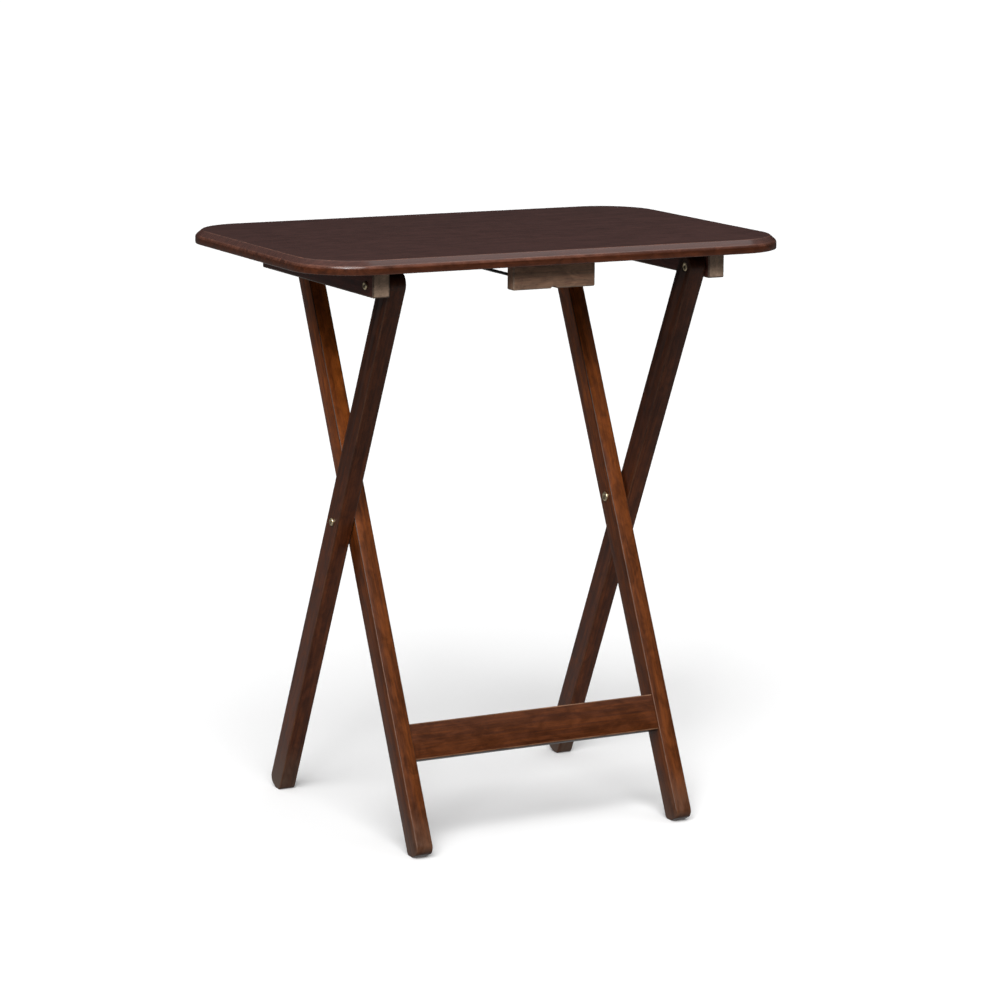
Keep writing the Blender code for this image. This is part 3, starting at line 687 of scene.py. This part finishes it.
chamfer_in, chamfer_down = 0.0074, 0.0062
corner_radius = 0.070
chamfer_arris, lower_arris = 0.0020, 0.0008
pilot_past_tip = 0.0003
low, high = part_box("tabletop")
square_top = high - upright * chamfer_down
board = start_block("tabletop_wood", (low + square_top) / 2, square_top - low)
pick(board, "edges", lambda e: runs_along(e, upright))
bpy.ops.mesh.bevel(offset=corner_radius, segments=28, affect="EDGES")
pick(board, "faces", lambda f: f.normal.z > 0.9)
bpy.ops.mesh.inset(thickness=chamfer_in, depth=chamfer_down)
bpy.ops.object.mode_set(mode="OBJECT")
top_stain = stained_wood("espresso_top", (0.0345, 0.0120, 0.0098), (0.0455, 0.0162, 0.0130), "X",
                         streak=0.007, cloudy=0.10, matt=0.38, coat=0.04, pores=0.18, seed=5.5,
                         bump=0.05, sheen=0.2)
edge_stain = stained_wood("espresso_edge", (0.047, 0.0118, 0.0040), (0.081, 0.0205, 0.0064), "X",
                          streak=0.005, cloudy=0.3, matt=0.34, coat=0.3, pores=0.3, seed=6.1,
                          bump=0.1)
chamfer_stain = stained_wood("espresso_chamfer", (0.048, 0.0165, 0.0120), (0.070, 0.0245, 0.0175), "X",
                             streak=0.006, cloudy=0.14, matt=0.26, coat=0.34, pores=0.2, seed=5.5,
                             bump=0.05, sheen=0.18)
# The arrises' lighter finish: partly wear, partly a painted highlight line.
worn_arris = stained_wood("worn_top_arris", (0.070, 0.024, 0.015), (0.125, 0.047, 0.029), "X",
                          matt=0.24, coat=0.7, seed=6.1, bump=0.05)
for finish in (top_stain, edge_stain, chamfer_stain, worn_arris):
    board.data.materials.append(finish)
for slot, test in ((1, lambda f: abs(f.normal.z) < 0.1), (2, lambda f: 0.1 < f.normal.z < 0.99)):
    pick(board, "faces", test)
    board.active_material_index = slot
    bpy.ops.object.material_slot_assign()
pick(board, "edges", lambda e: all(abs(vert.co.z - square_top.z) < 1e-5 for vert in e.verts))
bpy.ops.mesh.bevel(offset=chamfer_arris, segments=5, affect="EDGES", material=3)
bpy.ops.object.mode_set(mode="OBJECT")
round_edges(board, lower_arris, 3, angle=25, slot=3)
for node in screw_nodes:
    low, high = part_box(node)
    pilot = high.z - underside + pilot_past_tip
    pilot_mouth = ((low.x + high.x) / 2, (low.y + high.y) / 2, underside)
    bore(board, pilot_mouth, screw_hole_radius, 2 * pilot, "Z")
finish_piece(board, "top", "tabletop", smooth=22)

# ---- Studio ----
# A plain pale floor under a broad soft light from above and in front, a softbox overhead and a
# small lamp that glints on the left front corner of the top. The room gives light from overhead
# and little from the sides, so that the lacquer keeps its colour. Seen directly it is pale.

deselect()
bpy.ops.mesh.primitive_plane_add(size=90.0, location=(0.0, 0.0, -0.0002))
floor = bpy.context.object
floor.name = "floor"
paper = bpy.data.materials.new("pale_floor")
paper.use_nodes = True
paper_shader = paper.node_tree.nodes["Principled BSDF"]
paper_shader.inputs["Base Color"].default_value = (0.90, 0.90, 0.90, 1.0)
paper_shader.inputs["Roughness"].default_value = 1.0
paper_shader.inputs["Specular IOR Level"].default_value = 0.0
floor.data.materials.append(paper)
floor.visible_diffuse = False
floor.visible_glossy = False

world = bpy.data.worlds.new("studio")
bpy.context.scene.world = world
world.use_nodes = True
room = world.node_tree
way = room.nodes.new("ShaderNodeTexCoord")
parts = room.nodes.new("ShaderNodeSeparateXYZ")
height = room.nodes.new("ShaderNodeMapRange")
height.inputs["From Min"].default_value = -1.0
height.inputs["From Max"].default_value = 1.0
glow = room.nodes.new("ShaderNodeValToRGB")
room_greys = ((0.0, 0.17), (0.30, 0.38), (0.44, 0.070), (0.50, 0.032), (0.62, 0.028), (0.80, 0.25),
              (1.0, 1.0))
stops = glow.color_ramp.elements
for position, grey in room_greys:
    end_stop = stops[0] if position == 0.0 else stops[len(stops) - 1]
    stop = stops.new(position) if 0.0 < position < 1.0 else end_stop
    stop.color = (grey, grey, grey, 1.0)
seen = room.nodes.new("ShaderNodeLightPath")
backdrop = room.nodes.new("ShaderNodeMix")
backdrop.data_type = "RGBA"
backdrop.inputs[7].default_value = (0.93, 0.93, 0.93, 1.0)
joined(room.links, (way.outputs["Generated"], parts.inputs["Vector"]),
       (parts.outputs["Z"], height.inputs["Value"]), (height.outputs["Result"], glow.inputs["Fac"]),
       (glow.outputs["Color"], backdrop.inputs[6]),
       (seen.outputs["Is Camera Ray"], backdrop.inputs["Factor"]),
       (backdrop.outputs[2], room.nodes["Background"].inputs["Color"]))
room.nodes["Background"].inputs["Strength"].default_value = 1.0


def aimed(lamp, place, aim):
    lamp.location = place
    lamp.rotation_euler = (Vector(aim) - Vector(place)).to_track_quat("-Z", "Y").to_euler()


bpy.ops.object.light_add(type="SUN")
key = bpy.context.object
key.name = "soft_key"
key.data.energy = 3.3
key.data.angle = radians(50.0)
aimed(key, (-0.6, -1.0, 1.1), (0.0, 0.0, 0.0))
bpy.ops.object.light_add(type="AREA")
softbox = bpy.context.object
softbox.name = "overhead_softbox"
softbox.data.shape = "SQUARE"
softbox.data.size = 1.2
softbox.data.energy = 6.0
aimed(softbox, (0.9, -0.25, 2.4), (0.0, -0.19, 0.65))
bpy.ops.object.light_add(type="AREA")
corner_lamp = bpy.context.object
corner_lamp.name = "front_corner_lamp"
corner_lamp.data.shape = "SQUARE"
corner_lamp.data.size = 0.3
corner_lamp.data.energy = 9.0
left_front_corner = (-0.256, -0.184, 0.65)
aimed(corner_lamp, (-1.556, -2.134, 1.82), left_front_corner)

# ---- Camera ----
# A long lens a little above the table top and to the left of its front, looking slightly down
# and turned less than half a degree about its own axis.

bpy.ops.object.camera_add()
camera = bpy.context.object
camera.data.lens = 123.46
camera.data.sensor_width = 36.0
heading, looking_down, roll = radians(-27.496), radians(11.071), radians(0.428)
camera.matrix_world = (
    Matrix.Translation((-1.741, -3.385, 1.096))
    @ Matrix.Rotation(heading, 4, "Z")
    @ Matrix.Rotation(radians(90.0) - looking_down, 4, "X")
    @ Matrix.Rotation(roll, 4, "Z")
)
bpy.context.scene.camera = camera
bpy.context.scene.view_settings.view_transform = "Standard"
